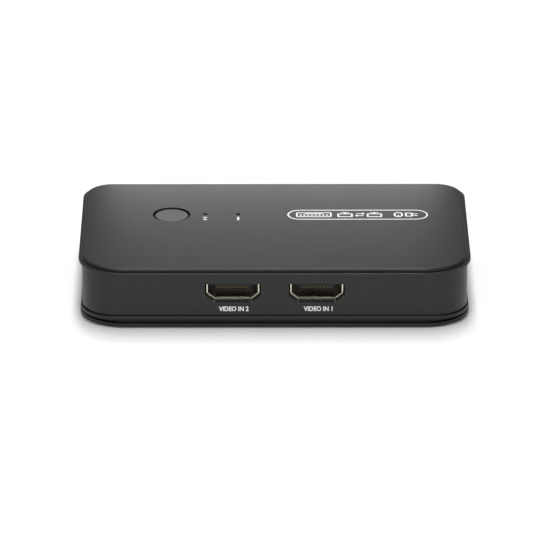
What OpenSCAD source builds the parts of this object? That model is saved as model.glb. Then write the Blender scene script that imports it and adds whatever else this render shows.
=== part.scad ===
// Two-computer video and USB switch box.
// X runs along the case, -Y is the side with the two video inputs, +Y is the user's side.
// Z is up, and Z = 0 is the surface that the rubber feet stand on.

/* [Case] */
// Length of the case over its rim
case_w = 110; // [91:1:132]
// Depth of the case over its rim
case_d = 66; // [60:1:80]
// Height from the underside of the base to the top of the lid
case_h = 17.3; // [14.4:0.1:22]
// Corner radius of the rim on the input side
input_corner_r = 13; // [10.5:0.5:15]
// How far the rim still stands out past the wall at the middle of a corner on the input side
corner_overhang = 0.1; // [0.05:0.05:0.5]
// Corner radius of the rim on the user's side
user_corner_r = 8.5; // [8:0.5:12]
// Thickness of the side wall
wall_t = 1.8; // [1.5:0.1:2.2]
// How far the rim stands out past the wall
rim_overhang = 1.0; // [0.6:0.1:1.4]
// Height of the rim's outer edge
rim_h = 0.7; // [0.5:0.1:1.2]

/* [Lid] */
// Height of the lid above the rim
lid_rise = 1.0; // [0.8:0.1:1.6]
// Depth of the step that drops inside the wall
lid_step = 0.6; // [0.4:0.1:1]
// Radius of the lid's top edge
lid_edge_r = 0.5; // [0.2:0.1:0.6]
// Height of the shadow line under the lid's edge
lid_shadow_h = 0.15; // [0.1:0.05:0.3]

/* [Base] */
// Thickness of the base floor
floor_t = 1.6; // [1.2:0.1:2.4]
// Height of the lowest band of the base
lip_h = 1.05; // [0.8:0.05:1.6]
// Height of the dark groove above that band
groove_h = 0.9; // [0.4:0.05:1]
// Height of the band that stands proud above the groove
strip_h = 1.25; // [1:0.05:2]
// Height of the seam between the base and the wall
seam_h = 0.25; // [0.2:0.05:0.5]
// Inset of the lowest band from the rim's outline
lip_inset = 0.4; // [0.3:0.05:1]
// Inset of the proud band from the rim's outline
strip_inset = 0.6; // [0.3:0.05:0.8]
// How far the groove goes in behind the proud band
groove_depth = 1.0; // [0.6:0.1:1.4]
// How far the seam goes in behind the wall's face
seam_depth = 0.6; // [0.4:0.1:0.8]

/* [Feet and screws] */
// Radius of a rubber foot
foot_r = 5; // [4:0.5:5.5]
// How far a foot stands below the base
foot_h = 0.3; // [0.2:0.1:1.5]
// Depth of the recess that a foot is glued into
foot_recess = 0.6; // [0.4:0.1:0.8]
// Radius of a case screw's shank
screw_r = 1.25; // [1:0.05:1.5]
// Radius of a case screw's head
screw_head_r = 2.2; // [2:0.1:2.4]
// Height of a case screw's head
screw_head_h = 1.3; // [1:0.1:1.6]
// Length that a case screw reaches into the lid's post
screw_grip = 4.5; // [3:0.5:5]
// Radius of the posts that the screws pass through
post_r = 3.4; // [3.2:0.1:3.6]

/* [Circuit board] */
// Height of the board's top face above the underside of the base, as a share of the case's height
board_share = 0.4235; // [0.42:0.0005:0.45]
// Thickness of the board
board_t = 1.6; // [1:0.2:1.6]
// Gap between the board's edge and the wall
board_gap = 0.5; // [0.3:0.1:1]

/* [Select button] */
// Centre of the button along the case
button_x = -29.3; // [-32:0.1:-26]
// Centre of the button across the case
button_y = 8.2; // [4:0.1:9]
// Radius of the button's face
button_r = 4.75; // [4:0.05:5.7]
// Width of the gap around the button's face
button_gap = 0.6; // [0.3:0.05:0.7]
// How far the button's face sits below the lid's face
button_recess = 0.2; // [0:0.05:0.4]
// Travel of the button
button_travel = 0.35; // [0.2:0.05:0.4]
// Width of the flange that keeps the button in the lid
button_flange = 1.2; // [1:0.1:1.5]
// Thickness of that flange
button_flange_t = 0.8; // [0.6:0.1:1]

/* [Status lights] */
// Place of light 1 along the case
light_1_x = -10.3; // [-12:0.1:-8]
// Place of light 2 along the case
light_2_x = -19.7; // [-21:0.1:-17]
// Place of both lights across the case
light_y = 8.5; // [4:0.1:10]
// Radius of the hole over a light
light_hole_r = 0.7; // [0.4:0.05:0.8]
// How far the light pipe's end sits below the lid's face
light_recess = 0.6; // [0.2:0.1:1]

/* [Sockets] */
// Distance of each video input from the middle of the case
video_in_x = 11.7; // [10:0.1:20]
// Gap between the screw posts and the outermost sockets on the user's side
post_gap = 1; // [0.5:0.1:1.5]
// Width of the wall opening for a video socket
video_opening_w = 15.6; // [15.2:0.1:16.4]
// Height of the wall opening for a video socket
video_opening_h = 5.4; // [5.2:0.1:6]
// Gap that the other wall openings leave around their sockets
opening_gap = 0.35; // [0.2:0.05:0.5]
// Gap between a socket's mouth and the inside of the wall
mouth_gap = 0.1; // [0.05:0.05:0.3]

/* [Hidden] */
$fn = 64;

black_plastic = [0.16, 0.16, 0.17];
seat_gap = 0.1;      // slide-in gap between the shells of the case
slip = 0.02;         // gap between pieces that touch but must come apart
run_gap = 0.08;      // radial gap of a piece that slides in a round hole
past = 1;            // how far a cut runs past the face that it opens

// Levels of the case, from the surface upwards
z_base = foot_h;
z_lip = z_base + lip_h;
z_groove = z_lip + groove_h;
z_strip = z_groove + strip_h;
z_seat = z_strip + seam_h;
z_top = z_base + case_h;
z_rim = z_top - lid_rise;
z_under = z_rim - lid_step;
z_floor = z_base + floor_t;
z_board = z_base + board_share * case_h;
board_low = z_board - board_t;

wall_in = rim_overhang + wall_t;      // inset of the wall's inner face from the rim's outline

// On the input side the wall turns more tightly than the rim, so that its corner comes out almost
// under the rim's edge. The radius is counted from the rim's outline, as the rim's own is.
corner_reach = sqrt(2) - 1;
wall_corner_r = input_corner_r + rim_overhang - (sqrt(2) * rim_overhang - corner_overhang) / corner_reach;

rib_t = 1.2;                          // thickness of the base's locating rib
strip_round = 0.3;                    // rounding of the proud band's edges
rim_round = 0.2;                      // rounding of the rim's top edge
rim_slope = 0.35;                     // drop of the rim's underside towards the wall
shadow_depth = 0.5;                   // depth of the shadow line under the lid
band_in = 3;                          // width of the swept bands that carry the rounded edges

// Places of the case screws and of the feet that hide them
screw_inset_x = 9.5;
screw_inset_input = 10.5;
screw_inset_user = 9.5;
screw_places = [
  for (side = [-1, 1]) [side * (case_w / 2 - screw_inset_x), -case_d / 2 + screw_inset_input],
  for (side = [-1, 1]) [side * (case_w / 2 - screw_inset_x), case_d / 2 - screw_inset_user]
];
z_head_seat = z_base + foot_recess + 1.6;
screw_gap = 0.2;
pilot_gap = 0.02;

// Tactile switch under the button
switch_w = 6;
switch_h = 3.1;
switch_plate_t = 0.3;
switch_floor = 0.9;
switch_reach = 4.3;
dome_r = 2.4;
dome_h = 0.7;
dome_t = 0.1;
plunger_r = 1.7;
plunger_flange_r = 2.2;
well_r = 2.6;
skirt_t = 0.2;
skirt_drop = 1.6;
button_hole_r = button_r + button_gap;
button_flange_r = button_r + button_flange;
collar_t = 1;
guide_h = 0.85;
collar_h = button_flange_t + button_travel + guide_h;
button_edge_r = 0.25;
stem_r = 1.9;

// Light pipes and the lights under them
led_size = [2, 1.25, 0.8];
led_gap = 0.3;
pipe_foot_r = 1.25;
pipe_collar_h = 2.5;

// Video socket with nineteen contacts
video_w = 14.8;
video_h = 5.35;
video_l = 11.5;
video_t = 0.4;
video_chamfer = [2.2, 1.7];
video_opening_chamfer = [2.35, 1.8];
video_tongue_w = 10.2;
video_tongue_t = 1;
video_tongue_z = 2.7;
video_tongue_front = 1.9;
video_tongue_nose = 0.3;
video_notch = [9.8, 0.8];
video_pitch = 1;
video_block = 4;
video_tail_w = 8;

// USB type A socket
usb_a_w = 13.1;
usb_a_h = 5.72;
usb_a_l = 14;
usb_a_t = 0.3;
usb_a_tongue = [11.1, 1.84];
usb_a_tongue_z = 2.85;
usb_a_front = 1.2;
usb_a_block = 4;
usb_a_tail_w = 8.5;
usb_a_contact_x = [-3.5, -1, 1, 3.5];

// USB type C socket
usb_c_w = 8.94;
usb_c_h = 3.26;
usb_c_l = 7.3;
usb_c_t = 0.3;
usb_c_tongue = [6.69, 0.7];
usb_c_front = 1;
usb_c_block = 2;
usb_c_tail_w = 4.5;
usb_c_pitch = 0.5;

// Solder legs of the socket shells
leg_t = 0.35;
leg_w = 1;
leg_h = 2.2;
leg_gap = 0.15;

// Height of the base's locating rib, as a share of the room under the legs
rib_share = 0.9;
rib_h = rib_share * (z_board - leg_h - z_seat);
blade_t = 0.08;
blade_start = 0.4;
tail_l = 1.1;
tail_t = 0.15;

y_input_wall = -case_d / 2 + wall_in;
y_user_wall = case_d / 2 - wall_in;

// Sockets on the user's side share out the room between the screw posts:
// keyboard, mouse, video output and the two that lead to the computers
user_room = case_w - 2 * (screw_inset_x + post_r + post_gap);
user_gap = (user_room - 2 * usb_a_w - video_w - 2 * usb_c_w) / 4;
keyboard_x = -user_room / 2 + usb_a_w / 2;
mouse_x = keyboard_x + usb_a_w + user_gap;
video_out_x = mouse_x + (usb_a_w + video_w) / 2 + user_gap;
computer_1_x = video_out_x + (video_w + usb_c_w) / 2 + user_gap;
computer_2_x = computer_1_x + usb_c_w + user_gap;
usb_a_x = [keyboard_x, mouse_x];
usb_c_x = [computer_1_x, computer_2_x];

// ---- Outlines ---------------------------------------------------------------------------

// Plan of the case, moved inwards from the rim's outline
module plan(inset, corner_r) {
  w = case_w - 2 * inset;
  d = case_d - 2 * inset;
  r_in = corner_r - inset;
  r_user = user_corner_r - inset;
  square([w - 2 * max(r_in, r_user), d], center = true);
  translate([-w / 2, -d / 2 + r_in])
    square([w, d - r_in - r_user]);
  translate([-w / 2 + r_user, 0])
    square([w - 2 * r_user, d / 2]);
  for (side = [-1, 1]) {
    translate([side * (w / 2 - r_in), -d / 2 + r_in])
      circle(r_in);
    translate([side * (w / 2 - r_user), d / 2 - r_user])
      circle(r_user);
  }
}

// A slab of that plan between two levels
module slab(inset, low, high, corner_r = input_corner_r) {
  translate([0, 0, low])
    linear_extrude(high - low)
      plan(inset, corner_r);
}

// Sweeps a profile around the plan: the profile's x = 0 lies on the outline, and -x points inwards
module around(inset, corner_r = input_corner_r) {
  w = case_w - 2 * inset;
  d = case_d - 2 * inset;
  r_in = corner_r - inset;
  r_user = user_corner_r - inset;
  runs = [
    [0, w / 2, d - r_in - r_user, (r_in - r_user) / 2],
    [90, d / 2, w - 2 * r_user, 0],
    [180, w / 2, d - r_in - r_user, (r_user - r_in) / 2],
    [270, d / 2, w - 2 * r_in, 0]
  ];
  corners = [
    [0, w / 2 - r_user, d / 2 - r_user, r_user],
    [90, r_user - w / 2, d / 2 - r_user, r_user],
    [180, r_in - w / 2, r_in - d / 2, r_in],
    [270, w / 2 - r_in, r_in - d / 2, r_in]
  ];
  for (run = runs)
    rotate(run[0])
      translate([run[1], run[3], 0])
        rotate([90, 0, 0])
          linear_extrude(run[2], center = true)
            children();
  for (corner = corners)
    translate([corner[1], corner[2], 0])
      rotate(corner[0])
        rotate_extrude(angle = 90)
          translate([corner[3], 0])
            children();
}

// Band profile with a rounded top edge and, if asked, a rounded lower edge
module band_profile(low, high, round_top, round_low) {
  translate([-band_in, low])
    square([band_in - max(round_top, round_low), high - low]);
  translate([-band_in, low + round_low])
    square([band_in, high - low - round_top - round_low]);
  translate([-round_top, high - round_top])
    circle(round_top);
  if (round_low > 0)
    translate([-round_low, low + round_low])
      circle(round_low);
}

// ---- Socket profiles, drawn in X and Z with the mouth facing -Y --------------------------

// Stands an X-Z profile up and runs it from one depth to another
module run_back(from, to) {
  translate([0, to, 0])
    rotate([90, 0, 0])
      linear_extrude(to - from)
        children();
}

module video_profile(w, h, chamfer) {
  polygon([
    [-w / 2, h],
    [-w / 2, chamfer[1]],
    [-w / 2 + chamfer[0], 0],
    [w / 2 - chamfer[0], 0],
    [w / 2, chamfer[1]],
    [w / 2, h]
  ]);
}

module slot_profile(w, h) {
  translate([-w / 2 + h / 2, 0])
    square([w - h, h]);
  for (side = [-1, 1])
    translate([side * (w - h) / 2, h / 2])
      circle(h / 2);
}

module box_profile(w, h) {
  translate([-w / 2, 0])
    square([w, h]);
}

// Four legs under a shell, or with a gap the slots that they pass through
module legs(w, l, top, gap = 0) {
  for (side = [-1, 1])
    for (y = [l * 0.22, l * 0.78])
      translate([side * (w / 2 - leg_t / 2), y, -leg_h])
        translate([-leg_t / 2 - gap, -leg_w / 2 - gap, 0])
          cube([leg_t + 2 * gap, leg_w + 2 * gap, leg_h + top]);
}

// Cut in the back of a shell, where the solder tails come out
module tail_slot(w, l) {
  run_back(l - past, l + past)
    translate([0, -past])
      box_profile(w, past + 4 * tail_t);
}

// ---- Places of the sockets ---------------------------------------------------------------

// Input side: the mouth faces -Y
module at_input(x) {
  translate([x, y_input_wall + mouth_gap, z_board])
    children();
}

// User's side: the mouth faces +Y
module at_user(x) {
  translate([x, y_user_wall - mouth_gap, z_board])
    rotate(180)
      children();
}

// ---- Video socket ------------------------------------------------------------------------

module video_shell() {
  difference() {
    union() {
      run_back(0, video_l)
        video_profile(video_w, video_h, video_chamfer);
      legs(video_w, video_l, video_chamfer[1] + 0.5);
    }
    run_back(-past, video_l - video_t)
      translate([0, video_t])
        video_profile(video_w - 2 * video_t, video_h - 2 * video_t, video_chamfer);
    run_back(-past, video_notch[1])
      translate([0, -past])
        box_profile(video_notch[0], past + 2 * video_t);
    tail_slot(video_tail_w, video_l);
  }
}

module video_tongue() {
  run_back(video_l - video_t - video_block, video_l - video_t)
    translate([0, video_t])
      video_profile(video_w - 2 * video_t, video_h - 2 * video_t, video_chamfer);
  root = video_l - video_t - video_block;
  nose = video_tongue_nose;
  translate([-video_tongue_w / 2, 0, video_tongue_z])
    rotate([90, 0, 90])
      linear_extrude(video_tongue_w)
        polygon([
          [video_tongue_front, nose],
          [video_tongue_front + nose, 0],
          [root, 0],
          [root, video_tongue_t],
          [video_tongue_front + nose, video_tongue_t],
          [video_tongue_front, video_tongue_t - nose]
        ]);
}

module video_contacts() {
  blade_w = 0.35;
  blade_end = video_l - video_t - video_block;
  for (i = [0:9])
    translate([(i - 4.5) * video_pitch - blade_w / 2, video_tongue_front + blade_start,
               video_tongue_z + video_tongue_t])
      cube([blade_w, blade_end - video_tongue_front - blade_start, blade_t]);
  for (i = [0:8])
    translate([(i - 4) * video_pitch - blade_w / 2, video_tongue_front + blade_start,
               video_tongue_z - blade_t])
      cube([blade_w, blade_end - video_tongue_front - blade_start, blade_t]);
  tail_w = 0.25;
  for (i = [0:13])
    translate([(i - 6.5) * video_pitch / 2 - tail_w / 2, video_l, 0])
      cube([tail_w, tail_l, tail_t]);
}

// ---- USB type A socket -------------------------------------------------------------------

module usb_a_shell() {
  difference() {
    union() {
      run_back(0, usb_a_l)
        box_profile(usb_a_w, usb_a_h);
      legs(usb_a_w, usb_a_l, usb_a_t);
    }
    run_back(-past, usb_a_l - usb_a_t)
      translate([0, usb_a_t])
        box_profile(usb_a_w - 2 * usb_a_t, usb_a_h - 2 * usb_a_t);
    tail_slot(usb_a_tail_w, usb_a_l);
  }
}

module usb_a_insulator() {
  run_back(usb_a_l - usb_a_t - usb_a_block, usb_a_l - usb_a_t)
    translate([0, usb_a_t])
      box_profile(usb_a_w - 2 * usb_a_t, usb_a_h - 2 * usb_a_t);
  run_back(usb_a_front, usb_a_l - usb_a_t - usb_a_block)
    translate([0, usb_a_tongue_z])
      box_profile(usb_a_tongue[0], usb_a_tongue[1]);
}

module usb_a_contacts() {
  blade_w = 1;
  blade_end = usb_a_l - usb_a_t - usb_a_block;
  for (x = usb_a_contact_x) {
    translate([x - blade_w / 2, usb_a_front + blade_start, usb_a_tongue_z - blade_t])
      cube([blade_w, blade_end - usb_a_front - blade_start, blade_t]);
    translate([x - blade_w / 4, usb_a_l, 0])
      cube([blade_w / 2, tail_l, tail_t]);
  }
}

// ---- USB type C socket -------------------------------------------------------------------

module usb_c_shell() {
  difference() {
    union() {
      run_back(0, usb_c_l)
        slot_profile(usb_c_w, usb_c_h);
      legs(usb_c_w, usb_c_l, usb_c_h / 2);
    }
    run_back(-past, usb_c_l - usb_c_t)
      translate([0, usb_c_t])
        slot_profile(usb_c_w - 2 * usb_c_t, usb_c_h - 2 * usb_c_t);
    tail_slot(usb_c_tail_w, usb_c_l);
  }
}

module usb_c_insulator() {
  run_back(usb_c_l - usb_c_t - usb_c_block, usb_c_l - usb_c_t)
    translate([0, usb_c_t])
      slot_profile(usb_c_w - 2 * usb_c_t, usb_c_h - 2 * usb_c_t);
  run_back(usb_c_front, usb_c_l - usb_c_t - usb_c_block)
    translate([0, (usb_c_h - usb_c_tongue[1]) / 2])
      box_profile(usb_c_tongue[0], usb_c_tongue[1]);
}

module usb_c_contacts() {
  blade_w = 0.25;
  blade_end = usb_c_l - usb_c_t - usb_c_block;
  z_face = (usb_c_h + usb_c_tongue[1]) / 2;
  for (z = [z_face, usb_c_h - z_face - blade_t])
    for (i = [0:11])
      translate([(i - 5.5) * usb_c_pitch - blade_w / 2, usb_c_front + blade_start, z])
        cube([blade_w, blade_end - usb_c_front - blade_start, blade_t]);
  for (i = [0:7])
    translate([(i - 3.5) * usb_c_pitch - blade_w / 2, usb_c_l, 0])
      cube([blade_w, tail_l, tail_t]);
}

// ---- Case --------------------------------------------------------------------------------

module top_cover() {
  color(black_plastic)
  difference() {
    union() {
      slab(rim_overhang + band_in - slip, z_under, z_top);
      around(rim_overhang)
        band_profile(z_rim + lid_shadow_h, z_top, lid_edge_r, 0);
      slab(rim_overhang + shadow_depth, z_rim, z_rim + lid_shadow_h + slip);
      slab(wall_in + seat_gap, z_under, z_rim + slip, wall_corner_r);
      translate([button_x, button_y, z_under - collar_h])
        cylinder(r = button_flange_r + run_gap + collar_t, h = collar_h + slip);
      for (x = [light_1_x, light_2_x])
        translate([x, light_y, z_under - pipe_collar_h])
          cylinder(r = pipe_foot_r + run_gap + collar_t, h = pipe_collar_h + slip);
      for (place = screw_places)
        translate([place[0], place[1], z_board])
          cylinder(r = post_r, h = z_under - z_board + slip);
    }
    translate([button_x, button_y, z_under - past])
      cylinder(r = button_hole_r, h = z_top - z_under + 2 * past);
    translate([button_x, button_y, z_under - collar_h - past])
      cylinder(r = button_flange_r + run_gap, h = collar_h + past);
    for (x = [light_1_x, light_2_x]) {
      translate([x, light_y, z_under - past])
        cylinder(r = light_hole_r, h = z_top - z_under + 2 * past);
      translate([x, light_y, z_under - pipe_collar_h - past])
        cylinder(r = pipe_foot_r + run_gap, h = pipe_collar_h + past);
    }
    for (place = screw_places)
      translate([place[0], place[1], z_board - past])
        cylinder(r = screw_r + pilot_gap, h = past + screw_grip + 0.5);
  }
}

module wall_frame() {
  color(black_plastic)
  difference() {
    union() {
      slab(rim_overhang, z_seat, z_rim, wall_corner_r);
      around(0) {
        translate([-wall_in, z_rim - rim_h])
          square([wall_in - rim_round, rim_h]);
        translate([-wall_in, z_rim - rim_h])
          square([wall_in, rim_h - rim_round]);
        translate([-rim_round, z_rim - rim_round])
          circle(rim_round);
        polygon([
          [0, z_rim - rim_h],
          [-rim_overhang - slip, z_rim - rim_h - rim_slope],
          [-rim_overhang - slip, z_rim - rim_h]
        ]);
      }
    }
    slab(wall_in, z_seat - past, z_rim + past, wall_corner_r);
    video_sink = (video_opening_h - video_h) / 2;
    for (x = [-video_in_x, video_in_x])
      at_input(x)
        run_back(-case_d / 4, past)
          translate([0, -video_sink])
            video_profile(video_opening_w, video_opening_h, video_opening_chamfer);
    at_user(video_out_x)
      run_back(-case_d / 4, past)
        translate([0, -video_sink])
          video_profile(video_opening_w, video_opening_h, video_opening_chamfer);
    for (x = usb_a_x)
      at_user(x)
        run_back(-case_d / 4, past)
          translate([0, -opening_gap])
            box_profile(usb_a_w + 2 * opening_gap, usb_a_h + 2 * opening_gap);
    for (x = usb_c_x)
      at_user(x)
        run_back(-case_d / 4, past)
          translate([0, -opening_gap])
            slot_profile(usb_c_w + 2 * opening_gap, usb_c_h + 2 * opening_gap);
  }
}

module base_cover() {
  rib_in = wall_in + seat_gap;
  color(black_plastic)
  difference() {
    union() {
      difference() {
        union() {
          slab(lip_inset, z_base, z_lip);
          slab(strip_inset + groove_depth, z_lip - slip, z_groove + slip);
          slab(strip_inset + band_in - slip, z_groove, z_strip, wall_corner_r);
          around(strip_inset, wall_corner_r)
            band_profile(z_groove, z_strip, strip_round, strip_round);
          slab(rim_overhang + seam_depth, z_strip - slip, z_seat, wall_corner_r);
          slab(rib_in, z_seat - slip, z_seat + rib_h, wall_corner_r);
        }
        slab(rib_in + rib_t, z_floor, z_seat + rib_h + past, wall_corner_r);
      }
      for (place = screw_places)
        translate([place[0], place[1], z_floor - slip])
          cylinder(r = post_r, h = board_low - z_floor + slip);
    }
    for (place = screw_places)
      translate([place[0], place[1], z_base - past]) {
        cylinder(r = foot_r + seat_gap, h = past + foot_recess);
        cylinder(r = screw_head_r + screw_gap, h = z_head_seat - z_base + past);
        cylinder(r = screw_r + screw_gap, h = board_low - z_base + 2 * past);
      }
  }
}

module rubber_feet() {
  color([0.1, 0.1, 0.1])
  for (place = screw_places)
    translate([place[0], place[1], 0])
      cylinder(r = foot_r, h = foot_h + foot_recess);
}

module case_screws() {
  socket_r = 0.9;
  socket_depth = 0.8;
  color("silver")
  for (place = screw_places)
    translate([place[0], place[1], 0])
      difference() {
        union() {
          translate([0, 0, z_head_seat - screw_head_h])
            cylinder(r = screw_head_r, h = screw_head_h);
          translate([0, 0, z_head_seat - slip])
            cylinder(r = screw_r, h = z_board + screw_grip - z_head_seat + slip);
        }
        translate([0, 0, z_head_seat - screw_head_h - past])
          cylinder(r = socket_r, h = past + socket_depth, $fn = 6);
      }
}

// ---- Board and what it carries -----------------------------------------------------------

module circuit_board() {
  color([0.05, 0.25, 0.15])
  difference() {
    slab(wall_in + board_gap, board_low, z_board, wall_corner_r);
    for (place = screw_places)
      translate([place[0], place[1], board_low - past])
        cylinder(r = screw_r + screw_gap, h = board_t + 2 * past);
    for (x = [-video_in_x, video_in_x])
      at_input(x)
        legs(video_w, video_l, past, leg_gap);
    at_user(video_out_x)
      legs(video_w, video_l, past, leg_gap);
    for (x = usb_a_x)
      at_user(x)
        legs(usb_a_w, usb_a_l, past, leg_gap);
    for (x = usb_c_x)
      at_user(x)
        legs(usb_c_w, usb_c_l, past, leg_gap);
  }
}

module at_switch() {
  translate([button_x, button_y, z_board])
    children();
}

module select_button() {
  z_flange = z_under - slip - button_flange_t;
  z_stem = z_board + switch_reach + slip;
  z_face = z_top - button_recess;
  color([0.2, 0.2, 0.21])
  translate([button_x, button_y, 0]) {
    translate([0, 0, z_stem])
      cylinder(r = stem_r, h = z_flange - z_stem + slip);
    translate([0, 0, z_flange])
      cylinder(r = button_flange_r, h = button_flange_t);
    translate([0, 0, z_flange])
      cylinder(r = button_r, h = z_face - button_edge_r - z_flange);
    translate([0, 0, z_flange])
      cylinder(r = button_r - button_edge_r, h = z_face - z_flange);
    translate([0, 0, z_face - button_edge_r])
      rotate_extrude()
        translate([button_r - button_edge_r, 0])
          circle(button_edge_r);
  }
}

module switch_housing() {
  color([0.1, 0.1, 0.11])
  at_switch()
    difference() {
      translate([-switch_w / 2, -switch_w / 2, 0])
        cube([switch_w, switch_w, switch_h]);
      translate([0, 0, switch_floor])
        cylinder(r = well_r, h = switch_h);
    }
}

module switch_cover() {
  plate_w = switch_w - 1;
  color("silver")
  at_switch()
    difference() {
      union() {
        translate([-switch_w / 2, -switch_w / 2, switch_h])
          cube([switch_w, switch_w, switch_plate_t]);
        for (side = [-1, 1])
          translate([side * (switch_w + skirt_t) / 2 - skirt_t / 2, -plate_w / 4, switch_h - skirt_drop])
            cube([skirt_t, plate_w / 2, skirt_drop + switch_plate_t]);
      }
      translate([0, 0, switch_h - past])
        cylinder(r = plunger_r + run_gap, h = switch_plate_t + 2 * past);
    }
}

module switch_plunger() {
  plunger_low = switch_floor + dome_h + slip;
  color([0.1, 0.1, 0.1])
  at_switch() {
    translate([0, 0, plunger_low])
      cylinder(r = plunger_flange_r, h = switch_h - slip - plunger_low);
    translate([0, 0, plunger_low])
      cylinder(r = plunger_r, h = switch_reach - plunger_low);
  }
}

// Snap dome: a spherical cap standing on the switch's floor
module switch_dome() {
  cap_r = (dome_r * dome_r + dome_h * dome_h) / (2 * dome_h);
  color("silver")
  at_switch()
    translate([0, 0, switch_floor])
      intersection() {
        translate([0, 0, dome_h - cap_r])
          difference() {
            sphere(cap_r);
            sphere(cap_r - dome_t);
          }
        cylinder(r = dome_r, h = dome_h + past);
      }
}

module switch_terminals() {
  terminal_w = 0.7;
  terminal_l = 1.4;
  color("silver")
  at_switch()
    for (side = [-1, 1])
      for (y = [-2.25, 2.25])
        translate([side * (switch_w + terminal_l) / 2 - terminal_l / 2, y - terminal_w / 2, 0])
          cube([terminal_l, terminal_w, 2 * tail_t]);
}

module light_pipe(x) {
  z_foot = z_board + led_size[2] + led_gap;
  color([0.9, 0.9, 0.95, 0.6])
  translate([x, light_y, 0]) {
    translate([0, 0, z_foot])
      cylinder(r = pipe_foot_r, h = z_under - slip - z_foot);
    translate([0, 0, z_under - 2 * slip])
      cylinder(r = light_hole_r - run_gap, h = z_top - light_recess - z_under + 2 * slip);
  }
}

module led(x) {
  color([0.95, 0.95, 0.85])
  translate([x - led_size[0] / 2, light_y - led_size[1] / 2, z_board])
    cube(led_size);
}

module light_pipe_1() {
  light_pipe(light_1_x);
}

module light_pipe_2() {
  light_pipe(light_2_x);
}

module led_1() {
  led(light_1_x);
}

module led_2() {
  led(light_2_x);
}

// ---- Sockets in their places -------------------------------------------------------------

module video_in_1_shell() {
  color("silver") at_input(video_in_x) video_shell();
}

module video_in_1_tongue() {
  color([0.1, 0.1, 0.1]) at_input(video_in_x) video_tongue();
}

module video_in_1_contacts() {
  color("gold") at_input(video_in_x) video_contacts();
}

module video_in_2_shell() {
  color("silver") at_input(-video_in_x) video_shell();
}

module video_in_2_tongue() {
  color([0.1, 0.1, 0.1]) at_input(-video_in_x) video_tongue();
}

module video_in_2_contacts() {
  color("gold") at_input(-video_in_x) video_contacts();
}

module video_out_shell() {
  color("silver") at_user(video_out_x) video_shell();
}

module video_out_tongue() {
  color([0.1, 0.1, 0.1]) at_user(video_out_x) video_tongue();
}

module video_out_contacts() {
  color("gold") at_user(video_out_x) video_contacts();
}

module usb_keyboard_shell() {
  color("silver") at_user(usb_a_x[0]) usb_a_shell();
}

module usb_keyboard_tongue() {
  color([0.1, 0.1, 0.1]) at_user(usb_a_x[0]) usb_a_insulator();
}

module usb_keyboard_contacts() {
  color("gold") at_user(usb_a_x[0]) usb_a_contacts();
}

module usb_mouse_shell() {
  color("silver") at_user(usb_a_x[1]) usb_a_shell();
}

module usb_mouse_tongue() {
  color([0.1, 0.1, 0.1]) at_user(usb_a_x[1]) usb_a_insulator();
}

module usb_mouse_contacts() {
  color("gold") at_user(usb_a_x[1]) usb_a_contacts();
}

module usb_computer_1_shell() {
  color("silver") at_user(usb_c_x[0]) usb_c_shell();
}

module usb_computer_1_tongue() {
  color([0.1, 0.1, 0.1]) at_user(usb_c_x[0]) usb_c_insulator();
}

module usb_computer_1_contacts() {
  color("gold") at_user(usb_c_x[0]) usb_c_contacts();
}

module usb_computer_2_shell() {
  color("silver") at_user(usb_c_x[1]) usb_c_shell();
}

module usb_computer_2_tongue() {
  color([0.1, 0.1, 0.1]) at_user(usb_c_x[1]) usb_c_insulator();
}

module usb_computer_2_contacts() {
  color("gold") at_user(usb_c_x[1]) usb_c_contacts();
}

// ---- Components on the board -------------------------------------------------------------

// Each chip: centre, body size, pins on an X side, pins on a Y side, pin pitch
video_chip = [[4, -5], [10, 10, 1.4], 16, 16, 0.5];
hub_chip = [[27, 0], [7, 7, 1.4], 12, 12, 0.5];
control_chip = [[-8, -6], [7.5, 12.8, 2.3], 10, 0, 1.27];
store_chip = [[-22, -10], [3.9, 4.9, 1.5], 4, 0, 1.27];
all_chips = [video_chip, hub_chip, control_chip, store_chip];
chip_lift = 0.1;
regulator_place = [37, -8];
inductor_place = [37.5, 2];
inductor_size = [5, 5, 3];
crystal_places = [[14, 6], [-20, -3]];
can_places = [[-38, -10], [-38, 2], [33, -16]];
regulator_size = [6.5, 3.5, 1.6];

module chip(data) {
  dimple_r = 0.5;
  dimple_depth = 0.1;
  corner = 0.9;
  color([0.12, 0.12, 0.12])
  translate([data[0][0], data[0][1], z_board + chip_lift])
    difference() {
      translate([-data[1][0] / 2, -data[1][1] / 2, 0])
        cube(data[1]);
      translate([-data[1][0] / 2 + corner, data[1][1] / 2 - corner, data[1][2] - dimple_depth])
        cylinder(r = dimple_r, h = past);
    }
}

// One gull-wing pin, its root on the chip's side at x = 0
module pin(pin_w, root_z) {
  pin_t = 0.15;
  reach = 1;
  knee = 0.45;
  translate([0, pin_w / 2, 0])
    rotate([90, 0, 0])
      linear_extrude(pin_w)
        polygon([
          [0, root_z],
          [knee, root_z],
          [knee, 0],
          [reach, 0],
          [reach, pin_t],
          [knee + pin_t, pin_t],
          [knee + pin_t, root_z + pin_t],
          [0, root_z + pin_t]
        ]);
}

module pin_row(count, pitch, half) {
  for (i = [0:1:count - 1])
    translate([half, (i - (count - 1) / 2) * pitch, 0])
      pin(pitch * 0.4, 0.5);
}

module chip_pins() {
  color("silver")
  for (data = all_chips)
    translate([data[0][0], data[0][1], z_board])
      for (turn = [0, 180]) {
        rotate(turn)
          pin_row(data[2], data[4], data[1][0] / 2);
        rotate(turn + 90)
          pin_row(data[3], data[4], data[1][1] / 2);
      }
}

module video_switch_chip() {
  chip(video_chip);
}

module usb_hub_chip() {
  chip(hub_chip);
}

module controller_chip() {
  chip(control_chip);
}

module memory_chip() {
  chip(store_chip);
}

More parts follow.
